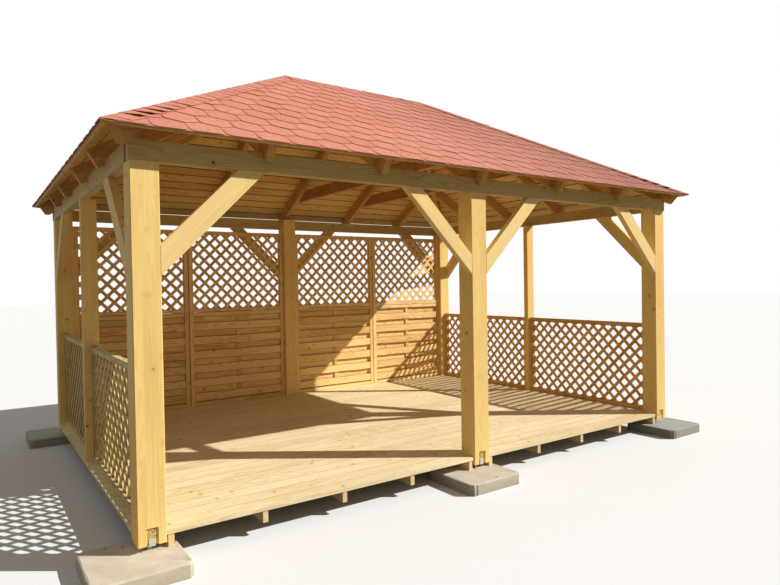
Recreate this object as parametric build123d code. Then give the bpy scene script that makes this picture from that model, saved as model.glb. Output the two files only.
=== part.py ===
from build123d import *
import os
from math import cos, radians, sin, sqrt, tan

# A wooden garden pergola: six posts on concrete pads, a boarded deck, a hipped roof of
# rafters and boards under shingles, a back wall of slats and lattice, low trellis sides.
# Millimetres. X runs along the front, Y towards the back wall, Z up from the floor.

# Plan, over the outer faces of the corner posts
LENGTH = 4900.0
WIDTH = 3400.0

# Heights
PAD_HEIGHT = 80.0
FOOT_GAP = 35.0
POST_HEIGHT = 2030.0

# Timber sections
POST = 150.0
SIDE_POST_FACE = 60.0
SIDE_POST_DEPTH = 110.0
PLATE_DEPTH = 110.0
PLATE_THICK = 60.0
PLATE_PROUD = 4.0
PLATE_HEAD_GAP = 45.0
POST_ARRIS = 4.0
PLATE_ARRIS = 5.0

# Knee braces, at 45 degrees
BRACE_REACH = 604.0
BRACE_THICK = 50.0
CORNER_BRACE_DEPTH = 117.0
MIDDLE_BRACE_DEPTH = 102.0
BRACE_ARRIS = 2.0

# Roof
PITCH = 30.0
RAFTER_THICK = 50.0
RAFTER_DEPTH = 115.0
HEEL = 30.0
TAIL_REACH = 98.0
RIDGE_THICK = 40.0
RIDGE_DEPTH = 140.0
FRONT_RAFTER_SPACING = 876.0
FRONT_OUTER_RAFTER = 1687.0
SIDE_RAFTER_SPACING = 780.0
SIDE_OUTER_RAFTER = 1050.0
TIE_ABOVE_PLATE = 185.0
ROOF_BOARD = 20.0
EAVE_REACH = 148.0
SHINGLE = 6.0
SHINGLE_OVERHANG = 12.0
CAP_SHINGLE = 4.0
CAP_HALF_WIDTH = 110.0

# Concrete pads
PAD = 490.0
PAD_REACH_X = 265.0
PAD_REACH_Y = 250.0
MIDDLE_PAD_SHIFT = -90.0
FRONT_RIGHT_PAD_SHIFT = -75.0
PAD_CHAMFER = 8.0
PAD_CORNER = 25.0

# Steel shoes under the main posts, let into a pocket in the outer face
SHOE_PLATE = 90.0
SHOE_PLATE_THICK = 6.0
SHOE_STUB = 24.0
POCKET_WIDTH = 66.0
POCKET_HEIGHT = 93.0
POCKET_DEPTH = 9.0
FLANGE_WIDTH = 35.0
FLANGE_HEIGHT = 36.0
FLANGE_THICK = 4.0

# Deck
JOIST_THICK = 32.0
JOIST_DEPTH = 70.0
JOIST_SETBACK = 15.0
JOIST_TO_POST = 10.0
JOISTS_BETWEEN = 3
DECK_BOARD = 26.0
DECK_BOARD_WIDTH = 125.0
DECK_LEAST_GAP = 4.0
DECK_SETBACK = 10.0
DECK_CLEARANCE = 3.0

# Trellis and wall panels
PANEL_THICK = 45.0
LATH_THICK = 8.0
LATH_WIDTH = 32.0
LATH_PITCH = 88.0
LEAST_LATH = 20.0
TRELLIS_HEIGHT = 869.0
TRELLIS_FRAME = 42.0
LEFT_TRELLIS_SETBACK = 50.0
RIGHT_TRELLIS_SETBACK = 34.0
WALL_SETBACK = 40.0
WALL_PANEL_SEAM = 4.0
WALL_PANEL_HEIGHT = 1914.0
WALL_STILE = 48.0
WALL_RAIL = 40.0
SLAT_ZONE = 1024.0
SLAT_START = 50.0
SLAT_COUNT = 7
SLAT_PITCH = 154.0
SLAT_WIDTH = 90.0
SLAT_THICK = 12.0
SLAT_SETBACK = 3.0
BATTEN_WIDTH = 45.0

# Levels that follow
FOOT = PAD_HEIGHT + FOOT_GAP
PLATE_UNDER = FOOT + POST_HEIGHT
PLATE_TOP = PLATE_UNDER + PLATE_DEPTH
DECK_UNDER = PAD_HEIGHT + JOIST_DEPTH
DECK_TOP = DECK_UNDER + DECK_BOARD
REBATE = PLATE_THICK - PLATE_PROUD

# The roof is set out from the outer faces of the plates
HALF_X = LENGTH / 2 + PLATE_PROUD
HALF_Y = WIDTH / 2 + PLATE_PROUD
COS = cos(radians(PITCH))
SIN = sin(radians(PITCH))
TAN = tan(radians(PITCH))
HIP_TAN = TAN / sqrt(2)
HIP_COS = 1 / sqrt(1 + HIP_TAN**2)
HIP_INSET = RAFTER_THICK / 2 * sqrt(2)
HIP_TO_RIDGE_MITRE = tan(radians(45 / 2))
PAST = 400.0


def rafter_under(inwards):
    """Height of the rafters' underside, a plan distance inwards from the plate's outer face."""
    return PLATE_TOP - HEEL + TAN * inwards


def rafter_top(inwards):
    """Height of the rafters' top, which carries the roof boards."""
    return rafter_under(inwards) + RAFTER_DEPTH / COS


def block(x, y, z):
    """A box from three (low, high) pairs."""
    size = [high - low for low, high in (x, y, z)]
    return Pos(x[0], y[0], z[0]) * Box(*size, align=(Align.MIN, Align.MIN, Align.MIN))


def outline(points):
    """A flat face in the XY plane from its corners."""
    return make_face(Polyline(*points, close=True))


def upright(points, low, high):
    """Corners given as (distance inwards, height), made solid along X from low to high."""
    face = Plane.YZ * outline(points)
    return Pos(low, 0, 0) * extrude(face, amount=high - low)


def mirrored(shape, x=False, y=False):
    """The same piece on the other end (x) or the other side (y)."""
    if x:
        shape = mirror(shape, about=Plane.YZ)
    if y:
        shape = mirror(shape, about=Plane.XZ)
    return shape


def four_corners(shape):
    return [mirrored(shape, x, y) for x in (False, True) for y in (False, True)]


def on_side(shape, side):
    """Sets a piece made in the front eave's frame (X along the eave, Y inwards) on its side."""
    turn, shift = {
        "front": (0, (0, -HALF_Y)),
        "right": (90, (HALF_X, 0)),
        "back": (180, (0, HALF_Y)),
        "left": (-90, (-HALF_X, 0)),
    }[side]
    return Pos(shift[0], shift[1], 0) * Rot(0, 0, turn) * shape


def eave_half(side):
    return HALF_X if side in ("front", "back") else HALF_Y


def between_hips(side, inset, low, high):
    """The upright prism over one slope's plan, kept a plan distance clear of the hips."""
    half = eave_half(side)
    corners = [
        (-half - PAST + inset, -PAST),
        (half + PAST - inset, -PAST),
        (0, half - inset),
    ]
    return Pos(0, 0, low) * extrude(outline(corners), amount=high - low)


def concrete_pads():
    """A cast pad under each main post; the middle ones and the front right one sit off centre."""
    pad = Pos(0, 0, PAD_HEIGHT / 2) * Box(PAD, PAD, PAD_HEIGHT)
    pad = chamfer(pad.edges().filter_by(Axis.Z), PAD_CORNER)
    pad = chamfer(pad.edges().group_by(Axis.Z)[-1], PAD_CHAMFER)
    out_x = LENGTH / 2 + PAD_REACH_X - PAD / 2
    out_y = WIDTH / 2 + PAD_REACH_Y - PAD / 2
    front = (-out_x, MIDDLE_PAD_SHIFT, out_x + FRONT_RIGHT_PAD_SHIFT)
    back = (-out_x, MIDDLE_PAD_SHIFT, out_x)
    return [Pos(x, -out_y, 0) * pad for x in front] + [Pos(x, out_y, 0) * pad for x in back]


def post_shoe():
    """Base plate, stub and top plate, with a flange turned up into the post's pocket."""
    seat = POST / 2 - POCKET_DEPTH
    base = Pos(0, 0, PAD_HEIGHT + SHOE_PLATE_THICK / 2) * Box(SHOE_PLATE, SHOE_PLATE, SHOE_PLATE_THICK)
    stub = Pos(0, 0, PAD_HEIGHT) * extrude(RegularPolygon(SHOE_STUB / 2, 8), amount=FOOT_GAP)
    head = block(
        (-FLANGE_WIDTH / 2, FLANGE_WIDTH / 2),
        (-seat - FLANGE_THICK, SHOE_PLATE / 2),
        (FOOT - SHOE_PLATE_THICK, FOOT),
    )
    flange = block(
        (-FLANGE_WIDTH / 2, FLANGE_WIDTH / 2),
        (-seat - FLANGE_THICK, -seat),
        (FOOT - SHOE_PLATE_THICK, FOOT + FLANGE_HEIGHT),
    )
    return base + stub + head + flange


def main_post(corner):
    """A post with the foot pocket in its front face and the head rebated for the plates."""
    height = PLATE_TOP - FOOT
    half = POST / 2
    post = Pos(0, 0, FOOT + height / 2) * Box(POST, POST, height)
    post = chamfer(post.edges().filter_by(Axis.Z), POST_ARRIS)
    post -= block((-half, half), (-half, -half + REBATE), (PLATE_UNDER, PLATE_TOP))
    if corner:
        post -= block((-half, -half + REBATE), (-half, half), (PLATE_UNDER, PLATE_TOP))
    pocket = (-POCKET_WIDTH / 2, POCKET_WIDTH / 2)
    return post - block(pocket, (-half, -half + POCKET_DEPTH), (FOOT, FOOT + POCKET_HEIGHT))


def post_place(x_side):
    """Centre of a front post: -1 the left corner, 0 the middle, 1 the right corner."""
    return x_side * (LENGTH - POST) / 2, -(WIDTH - POST) / 2


def side_posts():
    """Lighter posts halfway along the sides, narrow side out, from the deck to the side plates."""
    height = PLATE_UNDER - DECK_TOP
    post = Pos(0, 0, DECK_TOP + height / 2) * Box(SIDE_POST_DEPTH, SIDE_POST_FACE, height)
    post = chamfer(post.edges().filter_by(Axis.Z), POST_ARRIS)
    x = (LENGTH - SIDE_POST_DEPTH) / 2
    return [Pos(-x, 0, 0) * post, Pos(x, 0, 0) * post]


def joist_places():
    """Joists lie beside every post, with a few spaced evenly between them."""
    beside = JOIST_TO_POST + JOIST_THICK / 2
    outer = LENGTH / 2 - POST - beside
    inner = POST / 2 + beside
    step = (outer - inner) / (JOISTS_BETWEEN + 1)
    right = [inner + i * step for i in range(JOISTS_BETWEEN + 2)]
    return [-x for x in reversed(right)] + right


def floor_joists():
    end = WIDTH / 2 - JOIST_SETBACK
    half = JOIST_THICK / 2
    return [block((x - half, x + half), (-end, end), (PAD_HEIGHT, DECK_UNDER)) for x in joist_places()]


def floor_boards():
    """Boards along the length, notched round the posts, with even gaps between them."""
    depth = WIDTH - 2 * DECK_SETBACK
    count = int((depth + DECK_LEAST_GAP) / (DECK_BOARD_WIDTH + DECK_LEAST_GAP))
    pitch = (depth - DECK_BOARD_WIDTH) / (count - 1)
    half = POST / 2 + DECK_CLEARANCE
    inner = post_place(0)[1] + half
    notches = []
    for place in (-1, 0, 1):
        x, y = post_place(place)
        notch = block((x - half, x + half), (y - half, y + half), (DECK_UNDER, DECK_TOP))
        notches += [notch, mirrored(notch, y=True)]
    boards = []
    for i in range(count):
        low = -depth / 2 + i * pitch
        high = low + DECK_BOARD_WIDTH
        board = block((-LENGTH / 2, LENGTH / 2), (low, high), (DECK_UNDER, DECK_TOP))
        meets_posts = low < inner or high > -inner
        boards += (board - notches).solids() if meets_posts else [board]
    return boards


def eased_plate(x, y):
    """A wall plate with its lower outer arris eased; the outer face is on -Y."""
    plate = block(x, y, (PLATE_UNDER, PLATE_TOP))
    arris = plate.edges().filter_by(Axis.X).sort_by(Axis.Z)[:2].sort_by(Axis.Y)[0]
    return chamfer(arris, PLATE_ARRIS)


def front_plates():
    """Two lengths, half-lapped on the middle post: the butt shows at its left arris."""
    outer = (-HALF_Y, -HALF_Y + PLATE_THICK)
    middle = -HALF_Y + PLATE_THICK / 2
    lap = POST / 2
    left = eased_plate((-HALF_X, lap), outer)
    right = eased_plate((-lap, HALF_X), outer)
    left -= block((-lap, lap), (-HALF_Y, middle), (PLATE_UNDER, PLATE_TOP))
    right -= block((-lap, lap), (middle, -HALF_Y + PLATE_THICK), (PLATE_UNDER, PLATE_TOP))
    return left, right


def left_plate():
    """The side plate stops short of the front plate, on the shoulder of the corner post."""
    end = HALF_Y - PLATE_THICK - PLATE_HEAD_GAP
    plate = eased_plate((-end, end), (0, PLATE_THICK))
    return on_side(plate, "left")


def brace(depth):
    """A knee brace rising towards +X, its foot on a post face at x 0, its head under the plate."""
    cut = depth * sqrt(2)
    corners = [(0, -BRACE_REACH), (BRACE_REACH, 0), (BRACE_REACH - cut, 0), (0, -BRACE_REACH + cut)]
    face = Plane.XZ * outline(corners)
    solid = extrude(face, amount=-BRACE_THICK)
    long_edges = solid.edges().filter_by(lambda e: abs(e.length - BRACE_REACH * sqrt(2)) < 1)
    solid = chamfer(long_edges, BRACE_ARRIS)
    return Pos(0, 0, PLATE_UNDER) * solid


def front_braces():
    """One on the inner side of each corner post and one on each side of the middle post."""
    y = -WIDTH / 2
    left = Pos(-LENGTH / 2 + POST, y, 0) * brace(CORNER_BRACE_DEPTH)
    middle = Pos(POST / 2, y, 0) * brace(MIDDLE_BRACE_DEPTH)
    return [left, mirrored(left, x=True), middle, mirrored(middle, x=True)]


def side_braces():
    """From each corner post along the side, flush with the posts' outer faces."""
    turned = Rot(0, 0, 90) * mirrored(brace(CORNER_BRACE_DEPTH), y=True)
    left_front = Pos(-LENGTH / 2, -WIDTH / 2 + POST, 0) * turned
    return four_corners(left_front)


def rafter(at, top):
    """A rafter in the front eave's frame, notched over the plate, with its tail cut square."""
    tail = -TAIL_REACH
    corners = [
        (tail + RAFTER_DEPTH * SIN, rafter_under(tail + RAFTER_DEPTH * SIN)),
        (0, rafter_under(0)),
        (0, PLATE_TOP),
        (HEEL / TAN, PLATE_TOP),
        (top, rafter_under(top)),
        (top, rafter_top(top)),
        (tail, rafter_top(tail)),
    ]
    return upright(corners, at - RAFTER_THICK / 2, at + RAFTER_THICK / 2)


def rafters(side, places):
    """The rafters of one slope, cut against the ridge board or the hips."""
    ridge = HALF_Y - RIDGE_THICK / 2
    clear = between_hips(side, HIP_INSET, 0, rafter_top(HALF_Y) + PAST)
    return [on_side(rafter(at, ridge) & clear, side) for at in places]


def under_roof():
    """Everything under the four planes of the rafters' tops, as one hipped prism."""
    peak = rafter_top(HALF_Y)
    eave = rafter_top(-PAST)
    low = FOOT
    end = HALF_Y + PAST
    gable = [(-end, low), (end, low), (end, eave), (0, peak), (-end, eave)]
    long = HALF_X + PAST
    apex = HALF_X - HALF_Y
    front = [(-long, low), (long, low), (long, eave), (apex, peak), (-apex, peak), (-long, eave)]
    return upright(gable, -long, long) & extrude(Plane.XZ * outline(front), amount=end, both=True)


def hip_rafters(roof, ridge):
    """Hips at 45 degrees in plan, backed to both slopes and notched over the plates' corner."""
    rise = rafter_top(0)
    drop = RAFTER_DEPTH / HIP_COS
    tail = -TAIL_REACH * sqrt(2)
    lean = sqrt(2) * SIN / COS
    foot = drop / (1 / lean + HIP_TAN)
    top = HALF_Y * sqrt(2) + PAST
    corners = [
        (tail + foot, rise - drop + HIP_TAN * (tail + foot)),
        (top, rise - drop + HIP_TAN * top),
        (top, rise + HIP_TAN * top + PAST),
        (tail, rise + HIP_TAN * tail + PAST),
        (tail, rise + HIP_TAN * tail),
    ]
    hip = upright(corners, -RAFTER_THICK / 2, RAFTER_THICK / 2)
    hip = Pos(-HALF_X, -HALF_Y, 0) * Rot(0, 0, -45) * hip
    hip &= roof
    hip -= block((-HALF_X, 0), (-HALF_Y, 0), (0, PLATE_TOP))
    hip &= block((-HALF_X - PAST, 0), (-HALF_Y - PAST, 0), (0, rafter_top(HALF_Y)))
    hip -= ridge
    return four_corners(hip)


def ridge_board(roof):
    """The board that the hips and the middle rafters meet, its top backed to both slopes."""
    half = RIDGE_THICK / 2
    top = rafter_top(HALF_Y)
    reach = HALF_X - HALF_Y
    return block((-reach, reach), (-half, half), (top - RIDGE_DEPTH, top)) & roof


def collar_ties():
    """Two ties laid against the right faces of a rafter pair, ends cut to the slope."""
    low = PLATE_TOP + TIE_ABOVE_PLATE
    high = low + RAFTER_DEPTH
    reach_low = HALF_Y - (low - rafter_top(0)) / TAN
    reach_high = HALF_Y - (high - rafter_top(0)) / TAN
    corners = [(-reach_low, low), (reach_low, low), (reach_high, high), (-reach_high, high)]
    starts = (RAFTER_THICK / 2, FRONT_RAFTER_SPACING + RAFTER_THICK / 2)
    return [upright(corners, x, x + RAFTER_THICK) for x in starts]


def slope_layer(side, foot, low, high):
    """A layer over one slope, from low to high above the rafters, mitred at hips and ridge."""
    past = 0 if side in ("front", "back") else PAST
    top = HALF_Y + past
    corners = [
        (foot - low * SIN, rafter_top(foot) + low * COS),
        (top, rafter_top(top) + low / COS),
        (top, rafter_top(top) + high / COS),
        (foot - high * SIN, rafter_top(foot) + high * COS),
    ]
    half = eave_half(side)
    layer = upright(corners, -half - PAST, half + PAST)
    return on_side(layer & between_hips(side, 0, FOOT, rafter_top(top) + PAST), side)


def roof_boards(side):
    return slope_layer(side, ROOF_BOARD * SIN - EAVE_REACH, 0, ROOF_BOARD)


def shingles(side):
    """Shingles lie on the boards and reach a little past them at the eave."""
    foot = ROOF_BOARD * SIN - EAVE_REACH - SHINGLE_OVERHANG * COS
    return slope_layer(side, foot, ROOF_BOARD, ROOF_BOARD + SHINGLE)


def cap_plans():
    """Plans of one hip cap and half the ridge cap, mitred where they meet at the ridge's end."""
    wide = CAP_HALF_WIDTH
    apex = (-(HALF_X - HALF_Y), 0)
    eave = EAVE_REACH + SHINGLE_OVERHANG * COS
    mitre = (apex[0] + wide * HIP_TO_RIDGE_MITRE, -wide)
    edge_x, edge_y = -HALF_X - eave, -HALF_Y - eave
    cut = wide * sqrt(2)
    foot = [(edge_x + cut, edge_y), (edge_x, edge_y), (edge_x, edge_y + cut)]
    hip = [apex, mitre] + foot + [(apex[0] - cut, 0)]
    right = [(-mitre[0], -wide), (-apex[0], 0), (-mitre[0], wide)]
    ridge = [apex, mitre] + right + [(mitre[0], wide)]
    return hip, ridge


def cap_layer(plan):
    """A strip over the shingles, above one plan outline, following the slopes below it."""
    low = (ROOF_BOARD + SHINGLE) / COS
    high = low + CAP_SHINGLE / COS
    roof = under_roof()
    prism = Pos(0, 0, FOOT) * extrude(outline(plan), amount=rafter_top(HALF_Y) + PAST)
    return prism & (Pos(0, 0, high) * roof) - Pos(0, 0, low) * roof


def laths(width, height, lean):
    """Parallel laths at 45 degrees, cut to a panel's inner opening."""
    step = LATH_PITCH * sqrt(2)
    count = int((width + height) / 2 / step) + 1
    long = (width + height) * sqrt(2)
    strip = Rot(0, 0, lean) * Rectangle(long, LATH_WIDTH)
    cut = [Pos(i * step, 0) * strip & Rectangle(width, height) for i in range(-count, count + 1)]
    least = LEAST_LATH * LATH_WIDTH
    return Sketch() + [piece for piece in cut if piece and piece.area > least]


def lattice(width, height):
    """Two crossed layers of laths, set upright in the middle of the panel's thickness."""
    front = extrude(laths(width, height, 45), amount=LATH_THICK)
    back = extrude(laths(width, height, -45), amount=-LATH_THICK)
    return Plane.XZ * (front + back)


def bar(x, z, y=None):
    """A panel bar; its thickness is the whole panel's unless given."""
    return block(x, y or (-PANEL_THICK / 2, PANEL_THICK / 2), z)


def trellis(width):
    """A low framed trellis, standing on its lower rail, centred on its width."""
    half = width / 2
    side = TRELLIS_FRAME
    frame = bar((-half, half), (0, side)) + bar((-half, half), (TRELLIS_HEIGHT - side, TRELLIS_HEIGHT))
    for low in (-half, half - side):
        frame += bar((low, low + side), (0, TRELLIS_HEIGHT))
    inner = lattice(width - 2 * side, TRELLIS_HEIGHT - 2 * side)
    return frame + Pos(0, 0, TRELLIS_HEIGHT / 2) * inner


def slats(width):
    """Slats either side of a central batten: the back row covers the gaps of the front row."""
    face = PANEL_THICK / 2 - SLAT_SETBACK
    front_row = [SLAT_START + i * SLAT_PITCH for i in range(SLAT_COUNT)]
    back_row = [low - SLAT_PITCH / 2 for low in front_row]
    pieces = []
    for y, row in ((-face, front_row), (face - SLAT_THICK, back_row)):
        for low in row:
            reach = (max(low, WALL_RAIL), min(low + SLAT_WIDTH, SLAT_ZONE))
            pieces.append(bar((-width / 2, width / 2), reach, (y, y + SLAT_THICK)))
    return pieces


def wall_panel(width):
    """A back wall panel: staggered slats below, lattice above, in one frame."""
    half = width / 2
    inner = width - 2 * WALL_STILE
    panel = bar((-half, -half + WALL_STILE), (0, WALL_PANEL_HEIGHT))
    panel += bar((half - WALL_STILE, half), (0, WALL_PANEL_HEIGHT))
    for low in (0, SLAT_ZONE, WALL_PANEL_HEIGHT - WALL_RAIL):
        panel += bar((-inner / 2, inner / 2), (low, low + WALL_RAIL))
    between_rows = PANEL_THICK / 2 - SLAT_SETBACK - SLAT_THICK
    batten = (-BATTEN_WIDTH / 2, BATTEN_WIDTH / 2)
    panel += bar(batten, (WALL_RAIL, SLAT_ZONE), (-between_rows, between_rows))
    panel += slats(inner)
    low = SLAT_ZONE + WALL_RAIL
    high = WALL_PANEL_HEIGHT - WALL_RAIL
    return panel + Pos(0, 0, (low + high) / 2) * lattice(inner, high - low)


def save(name, pieces):
    """Writes one node; several pieces that don't touch share it as a compound."""
    solids = [solid for piece in pieces for solid in piece.solids()]
    shape = solids[0] if len(solids) == 1 else Compound(children=solids)
    export_step(shape, f"parts/{name}.step")


os.makedirs("parts", exist_ok=True)

save("concrete_pads", concrete_pads())

shoes = []
for place, name in ((-1, "left"), (0, "middle"), (1, "right")):
    x, y = post_place(place)
    post = Pos(x, y, 0) * mirrored(main_post(place != 0), x=place > 0)
    shoe = Pos(x, y, 0) * post_shoe()
    save(f"post_front_{name}", [post])
    save(f"post_back_{name}", [mirrored(post, y=True)])
    shoes += [shoe, mirrored(shoe, y=True)]
save("post_shoes", shoes)
save("side_posts", side_posts())

save("floor_joists", floor_joists())
save("floor_boards", floor_boards())

left, right = front_plates()
save("plate_front_left", [left])
save("plate_front_right", [right])
save("plate_back_left", [mirrored(left, y=True)])
save("plate_back_right", [mirrored(right, y=True)])
save("plate_left", [left_plate()])
save("plate_right", [mirrored(left_plate(), x=True)])

save("braces_front", front_braces())
save("braces_back", [mirrored(piece, y=True) for piece in front_braces()])
save("braces_sides", side_braces())

roof = under_roof()
ridge = ridge_board(roof)
save("ridge_board", [ridge])
save("hip_rafters", hip_rafters(roof, ridge))
front_places = [-FRONT_OUTER_RAFTER, -FRONT_RAFTER_SPACING, 0, FRONT_RAFTER_SPACING, FRONT_OUTER_RAFTER]
side_places = [-SIDE_OUTER_RAFTER, -SIDE_RAFTER_SPACING / 2, SIDE_RAFTER_SPACING / 2, SIDE_OUTER_RAFTER]
for side in ("front", "back", "left", "right"):
    places = front_places if side in ("front", "back") else side_places
    save(f"rafters_{side}", rafters(side, places))
    save(f"roof_boards_{side}", [roof_boards(side)])
    save(f"shingles_{side}", [shingles(side)])
save("collar_ties", collar_ties())
hip_plan, ridge_plan = cap_plans()
save("hip_caps", four_corners(cap_layer(hip_plan)))
save("ridge_cap", [cap_layer(ridge_plan)])

# Two wall panels fill each bay between the back posts, with a narrow seam between them
wall_bay = (LENGTH - 3 * POST) / 2
panel_width = (wall_bay - WALL_PANEL_SEAM) / 2
wall = wall_panel(panel_width)
wall_y = WIDTH / 2 - POST + WALL_SETBACK + PANEL_THICK / 2
for i, (bay_side, half_side) in enumerate(((-1, -1), (-1, 1), (1, -1), (1, 1))):
    x = bay_side * (POST + wall_bay) / 2 + half_side * (panel_width + WALL_PANEL_SEAM) / 2
    save(f"wall_panel_{i + 1}", [Pos(x, wall_y, DECK_TOP) * wall])

bay = (WIDTH - 2 * POST - SIDE_POST_FACE) / 2
low_trellis = Pos(0, 0, DECK_TOP) * Rot(0, 0, 90) * trellis(bay)
trellis_y = (SIDE_POST_FACE + bay) / 2
for end, sign, setback in (("left", -1, LEFT_TRELLIS_SETBACK), ("right", 1, RIGHT_TRELLIS_SETBACK)):
    x = sign * (LENGTH / 2 - setback - PANEL_THICK / 2)
    for place, y in (("front", -trellis_y), ("back", trellis_y)):
        save(f"trellis_{end}_{place}", [Pos(x, y, 0) * low_trellis])
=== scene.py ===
from math import cos, pi, radians, sin, sqrt, tan

import bmesh
import bpy
from mathutils import Matrix, Vector
from random import Random


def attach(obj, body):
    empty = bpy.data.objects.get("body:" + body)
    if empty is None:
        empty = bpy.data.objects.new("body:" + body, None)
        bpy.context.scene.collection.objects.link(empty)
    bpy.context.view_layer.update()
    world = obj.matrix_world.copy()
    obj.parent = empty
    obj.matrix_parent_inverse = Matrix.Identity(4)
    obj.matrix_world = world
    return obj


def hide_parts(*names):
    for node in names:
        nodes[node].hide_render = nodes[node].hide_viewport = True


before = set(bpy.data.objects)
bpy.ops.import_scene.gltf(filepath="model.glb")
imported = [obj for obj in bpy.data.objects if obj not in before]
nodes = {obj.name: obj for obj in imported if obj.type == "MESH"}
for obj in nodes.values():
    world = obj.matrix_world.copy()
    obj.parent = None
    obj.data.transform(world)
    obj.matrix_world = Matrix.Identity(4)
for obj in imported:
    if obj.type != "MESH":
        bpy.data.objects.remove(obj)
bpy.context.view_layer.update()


# Camera
# It stands off the front left corner of the deck at eye height, turned towards the back
# wall. Its place, turn and lens were solved from the posts, deck and plates.
CAMERA_PLACE = (-3.147, -5.052, 1.481)
CAMERA_TURN = radians(34.77)
CAMERA_DIP = radians(0.854)
CAMERA_ROLL = -0.01647
CAMERA_LENS = 28.03

camera_data = bpy.data.cameras.new("camera")
camera_data.lens = CAMERA_LENS
camera_data.sensor_width = 36
camera_data.clip_start = 0.05
camera_data.clip_end = 300
camera = bpy.data.objects.new("camera", camera_data)
bpy.context.scene.collection.objects.link(camera)
camera.matrix_world = (
    Matrix.Translation(CAMERA_PLACE)
    @ Matrix.Rotation(-CAMERA_TURN, 4, "Z")
    @ Matrix.Rotation(pi / 2 - CAMERA_DIP, 4, "X")
    @ Matrix.Rotation(CAMERA_ROLL, 4, "Z")
)
bpy.context.scene.camera = camera
bpy.context.scene.view_settings.view_transform = "Standard"


# Concrete pads
# Six cast pads of grey-beige concrete stand under the main posts. Their upright corners and
# top edges are worn, bores go down into them, and all but one have a groove near a corner.
PAD = 0.486
PAD_HEIGHT = 0.080
PAD_CORNER = 0.025
PAD_ARRIS = 0.010
PAD_ROUGHNESS = 0.0012
PAD_SMOOTH = radians(28)
PAD_BORE = 0.020
BORE_SIDES = 14
BORE_DEPTH = 0.025
GROOVE_WIDTH = 0.012
GROOVE_DEPTH = 0.006
GROOVE_FROM_CORNER = 0.050
GROOVE_SPARE = 0.020
# Each pad's middle, how grey it is, the end of its outer face with the groove (0 where there
# is none), and its bores
PADS = [
    ((-2.470, -1.705), 0.0, 0, [(-0.104, 0.202), (-0.022, 0.172)]),
    ((-0.090, -1.705), 0.25, -1, [(0.023, -0.205)]),
    ((2.395, -1.705), 1.0, -1, [(0.120, 0.060)]),
    ((-2.470, 1.705), 0.7, 1, [(-0.150, -0.110)]),
    ((-0.090, 1.705), 0.3, 1, [(-0.060, 0.190)]),
    ((2.470, 1.705), 0.5, -1, [(0.160, 0.130), (-0.040, 0.190)]),
]
CONCRETE_DULL = (200, 186, 166)
CONCRETE_PALE = (230, 218, 200)
CONCRETE_SAND = (208, 198, 180)
CONCRETE_GREY = (156, 160, 154)
CONCRETE_GRIT = (138, 130, 116)
CONCRETE_PIT = (94, 86, 74)
CONCRETE_STAIN = (164, 142, 102)
STAIN_HEIGHT = 0.075
CONCRETE_RELIEF = 0.0016
# Whatever lies within a hair of a line or plane is picked as lying on it
HAIR = 0.001


def tint(colour):
    """A colour as it shows on screen, 0 to 255 and none near black, as the shader takes it."""
    return [((value / 255 + 0.055) / 1.055) ** 2.4 for value in colour] + [1]


def feed(tree, node, sockets):
    """Sets a node's inputs, each given as a value or as another node's output."""
    for name, value in sockets.items():
        if isinstance(value, bpy.types.NodeSocket):
            tree.links.new(value, node.inputs[name])
        else:
            node.inputs[name].default_value = value


def add_node(tree, kind, sockets=None, **settings):
    """One shader node with its settings and its inputs."""
    made = tree.nodes.new("ShaderNode" + kind)
    for name, value in settings.items():
        setattr(made, name, value)
    feed(tree, made, sockets or {})
    return made


def calc(tree, operation, first, second=0.0, third=0.0):
    sockets = {0: first, 1: second, 2: third}
    return add_node(tree, "Math", sockets, operation=operation).outputs[0]


def plus(tree, first, second):
    return calc(tree, "ADD", first, second)


def minus(tree, first, second):
    return calc(tree, "SUBTRACT", first, second)


def times(tree, first, second):
    return calc(tree, "MULTIPLY", first, second)


def ramp(tree, value, low, high, to_low=0.0, to_high=1.0):
    """Takes a value smoothly from one range to another, held at both ends."""
    sockets = {"Value": value, "From Min": low, "From Max": high, "To Min": to_low, "To Max": to_high}
    return add_node(tree, "MapRange", sockets, interpolation_type="SMOOTHSTEP").outputs[0]


def vector_calc(tree, operation, first, second=(0, 0, 0)):
    made = add_node(tree, "VectorMath", {0: first, 1: second}, operation=operation)
    return made.outputs["Value" if operation == "DOT_PRODUCT" else "Vector"]


def object_point(tree):
    return add_node(tree, "TexCoord").outputs["Object"]


def axes(tree, point):
    return add_node(tree, "SeparateXYZ", {0: point}).outputs


def noise(tree, at, scale, detail, roughness=0.5):
    sockets = {"Vector": at, "Scale": scale, "Detail": detail, "Roughness": roughness}
    return add_node(tree, "TexNoise", sockets).outputs[0]


def cells(tree, at, scale):
    """Scattered cells: how far off each one's middle is, and a value of each one's own."""
    made = add_node(tree, "TexVoronoi", {"Vector": at, "Scale": scale}).outputs
    return made["Distance"], add_node(tree, "SeparateColor", {0: made["Color"]}).outputs[0]


def read_mark(tree, name):
    return add_node(tree, "Attribute", attribute_name=name).outputs["Fac"]


def blend(tree, share, first, second, mode="MIX"):
    """Mixes two colours; the Mix node has its colours at inputs 6 and 7 and output 2."""
    sockets = {0: share, 6: first, 7: second}
    return add_node(tree, "Mix", sockets, data_type="RGBA", blend_type=mode).outputs[2]


def layered(tree, base, *layers):
    """Lays tones over a base, each given with the share of it that shows."""
    for share, tone in layers:
        base = blend(tree, share, base, tint(tone))
    return base


def new_material(name):
    material = bpy.data.materials.new(name)
    material.use_nodes = True
    tree = material.node_tree
    tree.nodes.clear()
    shader = add_node(tree, "BsdfPrincipled")
    add_node(tree, "OutputMaterial", {"Surface": shader.outputs[0]})
    return material, tree, shader


def relief(tree, shader, height, depth):
    made = add_node(tree, "Bump", {"Height": height, "Distance": depth})
    feed(tree, shader, {"Normal": made.outputs[0]})


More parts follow.
